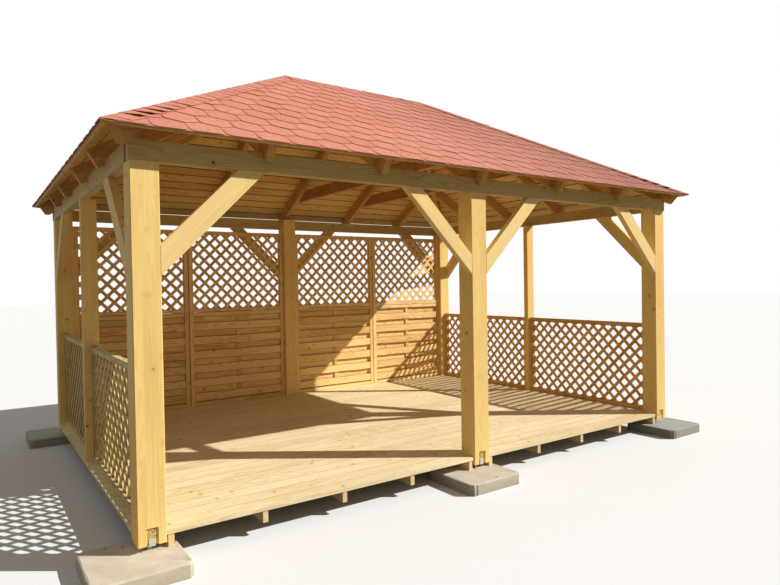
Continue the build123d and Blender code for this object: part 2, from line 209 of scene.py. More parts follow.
def select_none():
    for other in list(bpy.context.selected_objects):
        other.select_set(False)


def work_on(piece):
    select_none()
    piece.select_set(True)
    bpy.context.view_layer.objects.active = piece


def edit_mode():
    bpy.ops.object.mode_set(mode="EDIT")


def object_mode():
    bpy.ops.object.mode_set(mode="OBJECT")


def settled(name, size=(1, 1, 1), centre=(0, 0, 0)):
    """Names the primitive just added, and gives it its size and place within its mesh."""
    piece = bpy.context.object
    piece.name = name
    piece.data.name = name
    piece.scale = size
    piece.location = centre
    bpy.ops.object.transform_apply(location=True, rotation=True, scale=True)
    return piece


def new_block(name, size, centre=(0, 0, 0)):
    """A block of a given size, ready to be shaped in edit mode."""
    select_none()
    bpy.ops.mesh.primitive_cube_add(size=1)
    return settled(name, size, centre)


def pick(piece, test, kind="VERT"):
    """In edit mode, selects the points, edges or faces whose middle passes the test."""
    bpy.ops.mesh.select_mode(type=kind)
    bpy.ops.mesh.select_all(action="DESELECT")
    mesh = bmesh.from_edit_mesh(piece.data)
    for part in {"VERT": mesh.verts, "EDGE": mesh.edges, "FACE": mesh.faces}[kind]:
        if kind == "VERT":
            chosen = test(part.co)
        elif kind == "EDGE":
            low, high = (end.co for end in part.verts)
            chosen = test((low + high) / 2, high - low)
        else:
            chosen = test(part.calc_center_median(), part.normal)
        part.select_set(chosen)
    mesh.select_flush_mode()
    bmesh.update_edit_mesh(piece.data)


def copy_of(piece, matrix):
    """A copy with its own mesh, set in its place."""
    made = piece.copy()
    made.data = piece.data.copy()
    made.data.transform(matrix)
    bpy.context.scene.collection.objects.link(made)
    return made


def join(pieces, name):
    select_none()
    for piece in pieces:
        piece.select_set(True)
    bpy.context.view_layer.objects.active = pieces[0]
    if len(pieces) > 1:
        bpy.ops.object.join()
    joined = bpy.context.object
    joined.name = name
    joined.data.name = name
    return joined


def drop(piece):
    bpy.data.objects.remove(piece)


def dress(piece, material, slot=None):
    """Gives a piece its one material, and a new piece, given with a slot, its ride on the frame."""
    piece.data.materials.clear()
    piece.data.materials.append(material)
    for face in piece.data.polygons:
        face.material_index = 0
    if slot:
        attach(piece, "root")


def mark_tone(piece, value):
    """Gives every point of a piece the same tone, for the material to read."""
    layer = piece.data.attributes.new("tone", "FLOAT", "POINT")
    layer.data.foreach_set("value", [value] * len(piece.data.vertices))


def concrete():
    """Cast concrete: cloudy tone, sandy speckle, pores and a little staining low down."""
    material, tree, shader = new_material("cast_concrete")
    point = object_point(tree)
    cloud = noise(tree, point, scale=7.0, detail=5.0, roughness=0.6)
    sand = noise(tree, point, scale=420.0, detail=2.0)
    pore, chance = cells(tree, point, scale=95.0)
    pit = times(tree, ramp(tree, pore, 0.10, 0.22, 1.0, 0.0), calc(tree, "LESS_THAN", chance, 0.32))
    low_down = ramp(tree, axes(tree, point)[2], 0.0, STAIN_HEIGHT, 1.0, 0.0)
    damp = times(tree, low_down, ramp(tree, cloud, 0.3, 0.6))
    base = layered(
        tree,
        blend(tree, ramp(tree, cloud, 0.35, 0.68), tint(CONCRETE_DULL), tint(CONCRETE_PALE)),
        (ramp(tree, sand, 0.38, 0.62), CONCRETE_SAND),
        (read_mark(tree, "tone"), CONCRETE_GREY),
        (times(tree, ramp(tree, sand, 0.55, 0.75), 0.45), CONCRETE_GRIT),
        (times(tree, pit, 0.8), CONCRETE_PIT),
        (times(tree, damp, 0.5), CONCRETE_STAIN),
    )
    feed(tree, shader, {"Base Color": base, "Roughness": 0.92})
    rise = minus(tree, plus(tree, cloud, times(tree, sand, 0.25)), pit)
    relief(tree, shader, rise, CONCRETE_RELIEF)
    return material


pad = new_block("pad", (PAD, PAD, PAD_HEIGHT), (0, 0, PAD_HEIGHT / 2))
edit_mode()
pick(pad, lambda middle, run: abs(run.z) > PAD_HEIGHT / 2, "EDGE")
bpy.ops.mesh.bevel(offset=PAD_CORNER, segments=1)
pick(pad, lambda middle, run: middle.z > PAD_HEIGHT - HAIR, "EDGE")
bpy.ops.mesh.bevel(offset=PAD_ARRIS, segments=2)
bpy.ops.mesh.select_all(action="SELECT")
bpy.ops.mesh.quads_convert_to_tris()
bpy.ops.mesh.subdivide(number_cuts=3)
pick(pad, lambda at: at.z > HAIR)
bpy.ops.transform.vertex_random(offset=PAD_ROUGHNESS, uniform=1.0, seed=4)
object_mode()


def pad_cutter(groove_end, bores):
    """The bores in a pad's top and the groove down its outer face, as one cutting solid."""
    tools = []
    for x, y in bores:
        select_none()
        bpy.ops.mesh.primitive_cylinder_add(vertices=BORE_SIDES, radius=PAD_BORE / 2, depth=2 * BORE_DEPTH)
        tools.append(settled("pad_bore", centre=(x, y, PAD_HEIGHT)))
    if groove_end:
        size = (GROOVE_WIDTH, GROOVE_DEPTH * 2, PAD_HEIGHT + GROOVE_SPARE)
        at = (groove_end * (PAD / 2 - GROOVE_FROM_CORNER), -PAD / 2, PAD_HEIGHT / 2)
        tools.append(new_block("pad_groove", size, at))
    return join(tools, "pad_cutter")


pads = []
for (x, y), grey, groove_end, bores in PADS:
    cutter = pad_cutter(groove_end, bores)
    made = copy_of(pad, Matrix.Identity(4))
    cut = made.modifiers.new("bores", "BOOLEAN")
    cut.operation = "DIFFERENCE"
    cut.solver = "EXACT"
    cut.object = cutter
    work_on(made)
    bpy.ops.object.modifier_apply(modifier="bores")
    drop(cutter)
    facing = Matrix.Rotation(pi if y > 0 else 0, 4, "Z")
    made.data.transform(Matrix.Translation((x, y, 0)) @ facing)
    mark_tone(made, grey)
    pads.append(made)
drop(pad)
pads = join(pads, "pads_cast")
work_on(pads)
bpy.ops.object.shade_smooth_by_angle(angle=PAD_SMOOTH)
dress(pads, concrete(), "concrete")
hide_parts("concrete_pads")


# Post shoes and their screws
# Shoes of zinc-plated steel: a base plate on the pad, a stub, and a flange turned up in a
# pocket of the post. Its two screw heads sit on the pocket's back wall, within the flange.
POST_X = (-2.375, 0.0, 2.375)
POST_Y = 1.625
POST_HALF = 0.075
POCKET_DEPTH = 0.009
SHOE_SCREW_HEIGHTS = (0.126, 0.142)
SHOE_SCREW_RADIUS = 0.0045
SHOE_SCREW_RISE = 0.0022
ZINC_GREY = (206, 207, 206)
ZINC_BRIGHT = (232, 232, 230)
ZINC_DULL = (188, 182, 168)
ZINC_RELIEF = 0.0003
# A screw head's rim and recess, as shares of its radius and rise
HEAD_SIDES = 12
HEAD_RIM = 0.34
HEAD_RIM_DROP = 0.45
RECESS_RIM = 0.3
RECESS_DEPTH = 0.6


def zinc():
    """Bright zinc plating: faint spangle, dull patches and a satin sheen."""
    material, tree, shader = new_material("zinc_plated_steel")
    point = object_point(tree)
    spangle = cells(tree, point, scale=240.0)[1]
    dull = noise(tree, point, scale=55.0, detail=3.0)
    base = blend(tree, spangle, tint(ZINC_GREY), tint(ZINC_BRIGHT))
    base = layered(tree, base, (ramp(tree, dull, 0.52, 0.75), ZINC_DULL))
    rough = ramp(tree, dull, 0.3, 0.7, 0.34, 0.55)
    feed(tree, shader, {"Base Color": base, "Metallic": 1.0, "Roughness": rough})
    relief(tree, shader, dull, ZINC_RELIEF)
    return material


def slide(x=0, y=0, z=0):
    """In edit mode, moves what is picked."""
    bpy.ops.transform.translate(value=(x, y, z))


def screw_head(name, radius, rise):
    """A round head with a bevelled rim and a recess."""
    select_none()
    bpy.ops.mesh.primitive_cylinder_add(vertices=HEAD_SIDES, radius=radius, depth=rise)
    head = settled(name, centre=(0, 0, rise / 2))
    edit_mode()
    pick(head, lambda middle, normal: normal.z > 0.9, "FACE")
    bpy.ops.mesh.inset(thickness=radius * HEAD_RIM, depth=0)
    pick(head, lambda at: at.z > rise / 2 and at.xy.length > radius * 0.9)
    slide(z=-rise * HEAD_RIM_DROP)
    pick(head, lambda middle, normal: normal.z > 0.99 and middle.xy.length < radius * 0.3, "FACE")
    bpy.ops.mesh.inset(thickness=radius * RECESS_RIM, depth=-rise * RECESS_DEPTH)
    object_mode()
    return head


zinc_steel = zinc()
dress(nodes["post_shoes"], zinc_steel)
head = screw_head("shoe_screw", SHOE_SCREW_RADIUS, SHOE_SCREW_RISE)
screws = []
for x in POST_X:
    for side in (-1, 1):
        turn = Matrix.Rotation(-side * pi / 2, 4, "X")
        for z in SHOE_SCREW_HEIGHTS:
            place = Matrix.Translation((x, side * (POST_Y + POST_HALF - POCKET_DEPTH), z))
            screws.append(copy_of(head, place @ turn))
drop(head)
screws = join(screws, "shoe_screws")
dress(screws, zinc_steel, "zinc_steel")


# Posts
# Six posts of planed glulam spruce, 150 mm square, and two lighter side posts, all pale
# golden, with straight upright grain, a few knots, and their arrises lightly eased.
LAMELLA = 0.075
GRAIN_DEPTH = 0.0007
WOOD_GLOSS = 0.14
SEED_SHIFT = (3.71, 1.93, 2.57)
KNOT_CELLS = 8.5
KNOT_RAGGED = 0.03
RINGS = 26.0
RINGS_ROUND_KNOT = 1.7
TORN_HALF = 0.026
TORN_TOP = 0.215
TORN_REACH = 0.020
POST_TONES = ((245, 212, 136), (214, 164, 86), (146, 92, 44))
POCKET_TONE = (104, 78, 42)


def softwood_group():
    """Planed softwood: growth rings cut by the face, fibres, a drifting tone, and knots that the
    rings bend round. Place has X along the grain."""
    group = bpy.data.node_groups.new("softwood_grain", "ShaderNodeTree")
    for name, kind in (
        ("Place", "Vector"), ("Seed", "Float"), ("Pale", "Color"), ("Dark", "Color"), ("Knot", "Color"),
        ("Lines", "Float"), ("Knottiness", "Float"), ("Drift", "Float"), ("Shade", "Float"),
    ):
        group.interface.new_socket(name, in_out="INPUT", socket_type="NodeSocket" + kind)
    for name, kind in (("Color", "Color"), ("Roughness", "Float"), ("Height", "Float")):
        group.interface.new_socket(name, in_out="OUTPUT", socket_type="NodeSocket" + kind)
    given = group.nodes.new("NodeGroupInput").outputs
    shifts = {i: times(group, given["Seed"], by) for i, by in enumerate(SEED_SHIFT)}
    at = vector_calc(group, "ADD", given["Place"], add_node(group, "CombineXYZ", shifts).outputs[0])

    knot, chance = cells(group, at, KNOT_CELLS)
    here = calc(group, "LESS_THAN", chance, given["Knottiness"])
    ragged = times(group, minus(group, noise(group, at, scale=60.0, detail=2.0), 0.5), KNOT_RAGGED)
    away = plus(group, knot, ragged)
    core = times(group, ramp(group, away, 0.055, 0.095, 1.0, 0.0), here)
    halo = times(group, ramp(group, away, 0.07, 0.30, 1.0, 0.0), here)

    broad_at = vector_calc(group, "MULTIPLY", at, (0.55, 9.0, 9.0))
    fibre_at = vector_calc(group, "MULTIPLY", at, (9.0, 330.0, 330.0))
    drift_at = vector_calc(group, "MULTIPLY", at, (0.8, 3.5, 3.5))
    broad = noise(group, broad_at, scale=1.0, detail=1.5, roughness=0.4)
    fibre = noise(group, fibre_at, scale=1.0, detail=3.0)
    drift = noise(group, drift_at, scale=1.0, detail=2.0)
    rings = calc(group, "MULTIPLY_ADD", broad, RINGS, times(group, halo, RINGS_ROUND_KNOT))
    saw = calc(group, "FRACT", rings)
    line = times(group, ramp(group, saw, 0.30, 0.88), ramp(group, saw, 0.93, 1.0, 1.0, 0.0))

    share = times(group, line, given["Lines"])
    share = plus(group, share, times(group, minus(group, fibre, 0.5), 0.22))
    share = calc(group, "MULTIPLY_ADD", minus(group, drift, 0.45), given["Drift"], share)
    share = add_node(group, "Clamp", {0: plus(group, share, given["Shade"])}).outputs[0]
    colour = blend(group, share, given["Pale"], given["Dark"])
    colour = blend(group, times(group, halo, 0.35), colour, given["Dark"])
    colour = blend(group, times(group, core, 0.85), colour, given["Knot"])

    rough = calc(group, "MULTIPLY_ADD", fibre, 0.18, 0.52)
    height = plus(group, times(group, line, 0.35), times(group, fibre, 0.5))
    out = group.nodes.new("NodeGroupOutput")
    feed(group, out, {"Color": colour, "Roughness": rough, "Height": height})
    return group


softwood = softwood_group()


def grain_frame(tree, point, run, side):
    """Turns a point so that X runs with the grain; side lies across the grain."""
    run, side = Vector(run).normalized(), Vector(side).normalized()
    turned = {
        i: vector_calc(tree, "DOT_PRODUCT", point, list(axis))
        for i, axis in enumerate((run, side, run.cross(side)))
    }
    return add_node(tree, "CombineXYZ", turned).outputs[0]


def quarter_seed(tree, point):
    """A different value in each quarter of the plan, so that mirrored timbers differ."""
    return vector_calc(tree, "DOT_PRODUCT", vector_calc(tree, "SIGN", point), (1.31, 2.17, 0))


def timber(name, tones, place, lines, knots=0.5, drift=1.1, spread=0.0, edge=None):
    """A softwood finish; place(tree, point) gives the grain's place and a seed, spread is how much
    marked boards differ, and edge is a tone with a mask(tree, point) of where it shows: the torn
    wood of the post pockets, and painted shade in the seams of the deck, roof boards and panels."""
    material, tree, shader = new_material(name)
    point = object_point(tree)
    where, seed = place(tree, point)
    sockets = {"Lines": lines, "Knottiness": knots, "Drift": drift, "Seed": seed, "Place": where}
    sockets.update(zip(("Pale", "Dark", "Knot"), map(tint, tones)))
    if spread:
        sockets["Shade"] = times(tree, minus(tree, read_mark(tree, "tone"), 0.5), spread)
    grain = add_node(tree, "Group", node_tree=softwood)
    feed(tree, grain, sockets)
    colour = grain.outputs["Color"]
    if edge:
        tone, mask = edge
        colour = layered(tree, colour, (mask(tree, point), tone))
    feed(tree, shader, {"Base Color": colour, "Roughness": grain.outputs["Roughness"]})
    feed(tree, shader, {"Specular IOR Level": WOOD_GLOSS})
    relief(tree, shader, grain.outputs["Height"], GRAIN_DEPTH)
    return material


def upright_grain(tree, point):
    """Upright grain, in glued lamellas that differ a little in tone."""
    lamella = calc(tree, "FLOOR", calc(tree, "DIVIDE", axes(tree, point)[0], LAMELLA))
    seed = plus(tree, quarter_seed(tree, point), lamella)
    return grain_frame(tree, point, (0, 0, 1), (1, 0, 0)), seed


def foot_pocket(tree, point):
    """The pocket that a shoe's flange stands in, its rough wood left dark and torn."""
    x, y, z = axes(tree, point)
    x = calc(tree, "ABSOLUTE", x)
    from_end_post = calc(tree, "ABSOLUTE", minus(tree, x, POST_X[2]))
    off_post = calc(tree, "MINIMUM", x, from_end_post)
    depth = minus(tree, POST_Y + POST_HALF, calc(tree, "ABSOLUTE", y))
    torn = noise(tree, vector_calc(tree, "MULTIPLY", point, (1, 1, 0.4)), scale=210.0, detail=3.0)
    share = times(tree, ramp(tree, depth, 0.0005, 0.002), ramp(tree, torn, 0.36, 0.62, 0.9, 0.15))
    for value, limit in ((off_post, TORN_HALF), (depth, TORN_REACH), (z, TORN_TOP)):
        share = times(tree, share, calc(tree, "LESS_THAN", value, limit))
    return share


post_wood = timber("post_wood", POST_TONES, upright_grain, 0.22, 0.45, 1.2, edge=(POCKET_TONE, foot_pocket))
for node in nodes:
    if node.startswith(("post_front", "post_back")) or node == "side_posts":
        dress(nodes[node], post_wood)


# Floor joists and deck
# Joists of sawn spruce lie on the pads and the ground, and carry deck boards of pale planed
# spruce, screwed down twice at every joist, with narrow gaps between them.
DECK_TOP = 0.176
DECK_BOARD = 0.125
DECK_BOARD_PITCH = 0.1302
DECK_BOARDS = 26
DECK_EDGE = 1.690
# How wide and how strong the painted shade is at the deck boards' long edges
DECK_ARRIS = 0.0018
DECK_GAP_SHADE_SHARE = 0.4
JOIST_SPACING = 0.54325
JOIST_FIRST = 0.101
JOISTS_A_HALF = 5
DECK_SCREW_RADIUS = 0.0042
DECK_SCREW_RISE = 0.0012
DECK_SCREW_SUNK = 0.0002
DECK_SCREW_FROM_EDGE = 0.026
JOIST_TONES = ((240, 210, 164), (206, 166, 116), (130, 90, 54))
DECK_TONES = ((242, 227, 188), (214, 184, 132), (140, 98, 54))
# Painted shade of the gaps between deck boards, laid on the boards' long edges
DECK_GAP_SHADE_TONE = (150, 114, 70)


def joist_grain(tree, point):
    return grain_frame(tree, point, (0, 1, 0), (1, 0, 0)), 4.0


def boards_back(tree, across):
    """How many board pitches a point lies behind the deck's front edge."""
    return calc(tree, "DIVIDE", plus(tree, across, DECK_EDGE), DECK_BOARD_PITCH)


def deck_grain(tree, point):
    course = calc(tree, "FLOOR", boards_back(tree, axes(tree, point)[1]))
    return grain_frame(tree, point, (1, 0, 0), (0, 1, 0)), course


def deck_gap_shade_mask(tree, point):
    """Painted shade: where a deck board's long edges are, darkened towards the gaps between boards."""
    across = axes(tree, point)[1]
    inside = times(tree, calc(tree, "FRACT", boards_back(tree, across)), DECK_BOARD_PITCH)
    from_middle = calc(tree, "ABSOLUTE", minus(tree, inside, DECK_BOARD / 2))
    near = ramp(tree, from_middle, DECK_BOARD / 2 - DECK_ARRIS, DECK_BOARD / 2)
    behind_front = calc(tree, "GREATER_THAN", across, DECK_ARRIS - DECK_EDGE)
    return times(tree, times(tree, near, behind_front), DECK_GAP_SHADE_SHARE)


dress(nodes["floor_joists"], timber("joist_wood", JOIST_TONES, joist_grain, lines=0.7))
# The deck boards' long edges take painted shade towards the gaps
deck_gap_shade = (DECK_GAP_SHADE_TONE, deck_gap_shade_mask)
dress(nodes["floor_boards"], timber("deck_wood", DECK_TONES, deck_grain, 0.48, 1.0, 1.6, edge=deck_gap_shade))

head = screw_head("deck_screw", DECK_SCREW_RADIUS, DECK_SCREW_RISE)
screws = []
for half in (-1, 1):
    for joist in range(JOISTS_A_HALF):
        x = half * (JOIST_FIRST + joist * JOIST_SPACING)
        for board in range(DECK_BOARDS):
            low = -DECK_EDGE + board * DECK_BOARD_PITCH
            for y in (low + DECK_SCREW_FROM_EDGE, low + DECK_BOARD - DECK_SCREW_FROM_EDGE):
                screws.append(copy_of(head, Matrix.Translation((x, y, DECK_TOP - DECK_SCREW_SUNK))))
drop(head)
screws = join(screws, "deck_screws")
dress(screws, zinc_steel, "zinc_steel")


# Wall plates
# Beams of planed spruce lie in the rebated post heads, the front and back ones in two
# lengths half-lapped on the middle post. They are knotty, and their greyer, darker tones are
# painted shade of the eaves.
PLATE_SHADED_TONES = ((206, 182, 120), (164, 132, 78), (84, 54, 28))


def grain_along(run, side, folds_x=(), folds_y=()):
    """Grain along run. Each fold brings mirrored pieces over one another, so that one direction
    serves them all, and each quarter of the plan has its own seed."""

    def place(tree, point):
        x, y, z = axes(tree, point)
        for fold in folds_x:
            x = calc(tree, "ABSOLUTE", minus(tree, x, fold))
        for fold in folds_y:
            y = calc(tree, "ABSOLUTE", minus(tree, y, fold))
        at = add_node(tree, "CombineXYZ", {0: x, 1: y, 2: z}).outputs[0]
        return grain_frame(tree, at, run, side), quarter_seed(tree, point)

    return place


lengthwise_grain = grain_along((1, 0, 0), (0, 0, 1))
crosswise_grain = grain_along((0, 1, 0), (0, 0, 1))
# The plates' greyer, darker tones are painted shade of the eaves
plate_wood = timber("plate_wood", PLATE_SHADED_TONES, lengthwise_grain, lines=0.45, knots=0.7)
side_plate_wood = timber("side_plate_wood", PLATE_SHADED_TONES, crosswise_grain, lines=0.45, knots=0.7)
for node in ("plate_front_left", "plate_front_right", "plate_back_left", "plate_back_right"):
    dress(nodes[node], plate_wood)
for node in ("plate_left", "plate_right"):
    dress(nodes[node], side_plate_wood)


# Knee braces
# Braces of planed spruce at 45 degrees stiffen the posts and plates, four along the front,
# four along the back and two on each side, mitred top and bottom and screwed on.
BRACE_FOLD = 1.1875
BRACE_TONES = ((242, 214, 146), (218, 176, 106), (146, 100, 54))

long_side_grain = grain_along((-1, 0, 1), (0, 1, 0), folds_x=(0, BRACE_FOLD))
short_side_grain = grain_along((0, -1, 1), (1, 0, 0), folds_y=(0,))
brace_wood = timber("brace_wood", BRACE_TONES, long_side_grain, lines=0.25, knots=0.35)
side_brace_wood = timber("side_brace_wood", BRACE_TONES, short_side_grain, lines=0.3, knots=0.4)
dress(nodes["braces_front"], brace_wood)
dress(nodes["braces_back"], brace_wood)
dress(nodes["braces_sides"], side_brace_wood)


# Rafters, hips, ridge board and collar ties
# The roof's frame is of sawn spruce: common and jack rafters notched over the plates, four
# hip rafters to a short ridge board, and two collar ties nailed to the middle rafters.
PITCH = radians(30)
RAFTER_TONES = ((216, 170, 102), (170, 120, 62), (88, 52, 26))
TIE_TONES = ((196, 146, 88), (146, 96, 52), (84, 50, 26))

front_rafter_grain = grain_along((0, -cos(PITCH), sin(PITCH)), (1, 0, 0), folds_y=(0,))
side_rafter_grain = grain_along((-cos(PITCH), 0, sin(PITCH)), (0, 1, 0), folds_x=(0,))
hip_rafter_grain = grain_along((-1, -1, tan(PITCH)), (1, -1, 0), folds_x=(0,), folds_y=(0,))
for name, tones, grain, timbers in (
    ("rafter_wood", RAFTER_TONES, front_rafter_grain, ("rafters_front", "rafters_back")),
    ("side_rafter_wood", RAFTER_TONES, side_rafter_grain, ("rafters_left", "rafters_right")),
    ("hip_rafter_wood", RAFTER_TONES, hip_rafter_grain, ("hip_rafters",)),
    ("ridge_wood", RAFTER_TONES, lengthwise_grain, ("ridge_board",)),
    ("tie_wood", TIE_TONES, crosswise_grain, ("collar_ties",)),
):
    wood = timber(name, tones, grain, lines=0.5, knots=0.6)
    for node in timbers:
        dress(nodes[node], wood)


# Roof boards
# Planed spruce boards, 20 mm thick, are nailed across the rafters from eave to ridge, each
# with small bevels where it meets the next, and mitred over the hips.
HALF_X = 2.454
HALF_Y = 1.704
RAFTER_TOP = 2.35779
ROOF_BOARD = 0.020
ROOF_BOARD_PITCH = 0.115
ROOF_BOARD_GAP = 0.0025
ROOF_BOARD_BEVEL = 0.0045
EAVE_REACH = 0.148
BOARD_FOOT = -(EAVE_REACH - ROOF_BOARD * sin(PITCH)) / cos(PITCH)
FOOT_EDGE = 0.010
PAST_CORNER = 0.60
ROOF_TONES = ((236, 196, 122), (194, 143, 76), (94, 56, 24))
# Painted shade in the seams between boards: how dark it is, and how much of it shows
SEAM_SHADE_TONE = (70, 42, 20)
SEAM_SHADE_SHARE = 0.9
ROOF_SEEDS = 40.0


def turned_to(degrees, shift):
    return Matrix.Translation(shift) @ Matrix.Rotation(radians(degrees), 4, "Z")


# A slope is modelled lying flat, X along the eave and Y up the slope from the plate's face,
# then pitched, and turned to its side. Each has its half length along the plate.
TILT_UP = Matrix.Translation((0, 0, RAFTER_TOP)) @ Matrix.Rotation(PITCH, 4, "X")
SLOPES = {
    "front": (HALF_X, turned_to(0, (0, -HALF_Y, 0))),
    "right": (HALF_Y, turned_to(90, (HALF_X, 0, 0))),
    "back": (HALF_X, turned_to(180, (0, HALF_Y, 0))),
    "left": (HALF_Y, turned_to(-90, (-HALF_X, 0, 0))),
}


def cut_away(piece, through, outwards):
    """Cuts a piece with a plane and closes it, leaving the side that outwards points away from."""
    work_on(piece)
    edit_mode()
    bpy.ops.mesh.select_all(action="SELECT")
    bpy.ops.mesh.bisect(plane_co=through, plane_no=outwards, use_fill=True, clear_outer=True)
    object_mode()


def cut_to_slope(piece, half, inset=0.0):
    """Mitres a layer that is already pitched against the hips and the ridge."""
    cut_away(piece, (-half + inset, 0, 0), (-1, 1, 0))
    cut_away(piece, (half - inset, 0, 0), (1, 1, 0))
    cut_away(piece, (0, HALF_Y - inset, 0), (0, 1, 0))


def mark_cut_and_shaded_edges(piece, is_cut):
    """Marks the faces that pass the test. On the felt they are cut edges, undersides and covered
    parts, which are dark bitumen; on wooden boards and planks they take painted seam shade.
    """
    layer = piece.data.attributes.new("cut", "FLOAT", "FACE")
    layer.data.foreach_set("value", [float(is_cut(face.center, face.normal)) for face in piece.data.polygons])


# Painted shade on the marked sides, bevels and ends of wooden boards and planks
def seam_shade_mask(tree, point):
    return times(tree, read_mark(tree, "cut"), SEAM_SHADE_SHARE)


def board_finish(name, run, side):
    """Softwood whose pattern and tone change from board to board by the tone attribute, with
    painted shade in the seams between the boards.
    """

    def place(tree, point):
        return grain_frame(tree, point, run, side), times(tree, read_mark(tree, "tone"), ROOF_SEEDS)

    return timber(name, ROOF_TONES, place, 0.5, 0.8, 1.3, spread=0.5, edge=(SEAM_SHADE_TONE, seam_shade_mask))


roof_wood_long = board_finish("roof_wood_long", (1, 0, 0), (0, 1, 0))
roof_wood_short = board_finish("roof_wood_short", (0, 1, 0), (1, 0, 0))

board_random = Random(11)
for side, (half, place) in SLOPES.items():
    size = (2 * (half + PAST_CORNER), ROOF_BOARD_PITCH - ROOF_BOARD_GAP, ROOF_BOARD)
    board = new_block("roof_board", size, (0, ROOF_BOARD_PITCH / 2, ROOF_BOARD / 2))
    edit_mode()
    pick(board, lambda middle, run: abs(run.x) > 1 and middle.z < ROOF_BOARD / 2, "EDGE")
    bpy.ops.mesh.bevel(offset=ROOF_BOARD_BEVEL, segments=1)
    object_mode()
    boards = []
    for i in range(int((HALF_Y / cos(PITCH) - BOARD_FOOT) / ROOF_BOARD_PITCH) + 2):
        made = copy_of(board, Matrix.Translation((0, BOARD_FOOT + i * ROOF_BOARD_PITCH, 0)))
        # Each board's sides and bevels, all but the first board's eave edge, are marked for painted seam
        # shade
        mark_cut_and_shaded_edges(made, lambda middle, normal: abs(normal.y) > 0.4 and middle.y > BOARD_FOOT + FOOT_EDGE)
        mark_tone(made, board_random.random())
        boards.append(made)
    drop(board)
    boards = join(boards, f"roof_boarding_{side}")
    boards.data.transform(TILT_UP)
    cut_to_slope(boards, half)
    boards.data.transform(place)
    dress(boards, roof_wood_long if side in ("front", "back") else roof_wood_short, "roof_board_wood")
    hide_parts(f"roof_boards_{side}")


# Shingles
# Bitumen felt shingles with red mineral granules are nailed over the boards in courses. Each
# strip has hexagonal tabs with slots between them, and every course steps half a tab.
TAB = 0.195
TAB_SLOT = 0.0065
TAB_POINT = 0.041
TAB_CORNER = 0.020
TAB_LENGTH = 0.318
TAB_LIFT = 0.0024
TAB_LEAN = 0.001
EXPOSURE = 0.1643
FELT_OVERHANG = 0.012
FELT_INSET = 0.002
SHINGLE_FOOT = BOARD_FOOT - FELT_OVERHANG
FIRST_COURSE = SHINGLE_FOOT - 0.028
FIRST_POINT = -1.981 + TAB / 2
COURSES = int((HALF_Y / cos(PITCH) - SHINGLE_FOOT - TAB / 2) / EXPOSURE) + 1
COURSE_SPARE = 0.2
STARTER_WIDTH = 0.19
STARTER_THICK = 0.0024
SHINGLE_THICK = 0.0034
# How high a tab's top face lies over the boards at its lower edge, where it is covered, and
# at its upper end, how much prouder its point is, and how high its underside lies
BUTT_TOP = 0.0072
COVERED_TOP = 0.0026
END_TOP = 0.0016
POINT_PROUD = 0.0009
UNDERSIDE = 0.0001
FELT_RED = (190, 116, 98)
FELT_LIGHT = (214, 144, 124)
FELT_GRANULE = (228, 163, 140)
FELT_DARK_GRANULE = (120, 62, 54)
FELT_TONE = (180, 108, 92)
FELT_CLOUD = (222, 160, 140)
FELT_CUT = (156, 90, 76)
# Painted shade: the felt is darkened towards the right, for the denser shadow lines of its tab edges seen at
# a grazing angle
FELT_RIGHT_SHADE = (205, 211, 218)
FELT_RELIEF = 0.0012


def felt():
    """Red mineral felt: granules of several reds, a mottle over each tab, and painted shade darkening it to
    the right.
    """
    material, tree, shader = new_material("shingle_felt")
    point = object_point(tree)
    granule = cells(tree, point, scale=620.0)[1]
    mottle = noise(tree, point, scale=34.0, detail=4.0, roughness=0.65)
    cloud = noise(tree, point, scale=1.6, detail=2.0)
    base = layered(
        tree,
        blend(tree, ramp(tree, mottle, 0.32, 0.68), tint(FELT_RED), tint(FELT_LIGHT)),
        (times(tree, ramp(tree, granule, 0.0, 1.0), 0.5), FELT_GRANULE),
        (times(tree, calc(tree, "LESS_THAN", granule, 0.12), 0.5), FELT_DARK_GRANULE),
        (times(tree, read_mark(tree, "tone"), 0.30), FELT_TONE),
    )
    # Painted shade: darker towards the right
    rightward_shade = ramp(tree, axes(tree, point)[0], -1.0, 2.2)
    base = layered(
        tree,
        blend(tree, rightward_shade, base, tint(FELT_RIGHT_SHADE), "MULTIPLY"),
        (times(tree, ramp(tree, cloud, 0.4, 0.7), 0.15), FELT_CLOUD),
        (times(tree, read_mark(tree, "cut"), 0.7), FELT_CUT),
    )
    feed(tree, shader, {"Base Color": base, "Roughness": 0.88, "Specular IOR Level": 0.15})
    height = calc(tree, "MULTIPLY_ADD", mottle, 0.6, times(tree, granule, 0.5))
    relief(tree, shader, height, FELT_RELIEF)
    return material


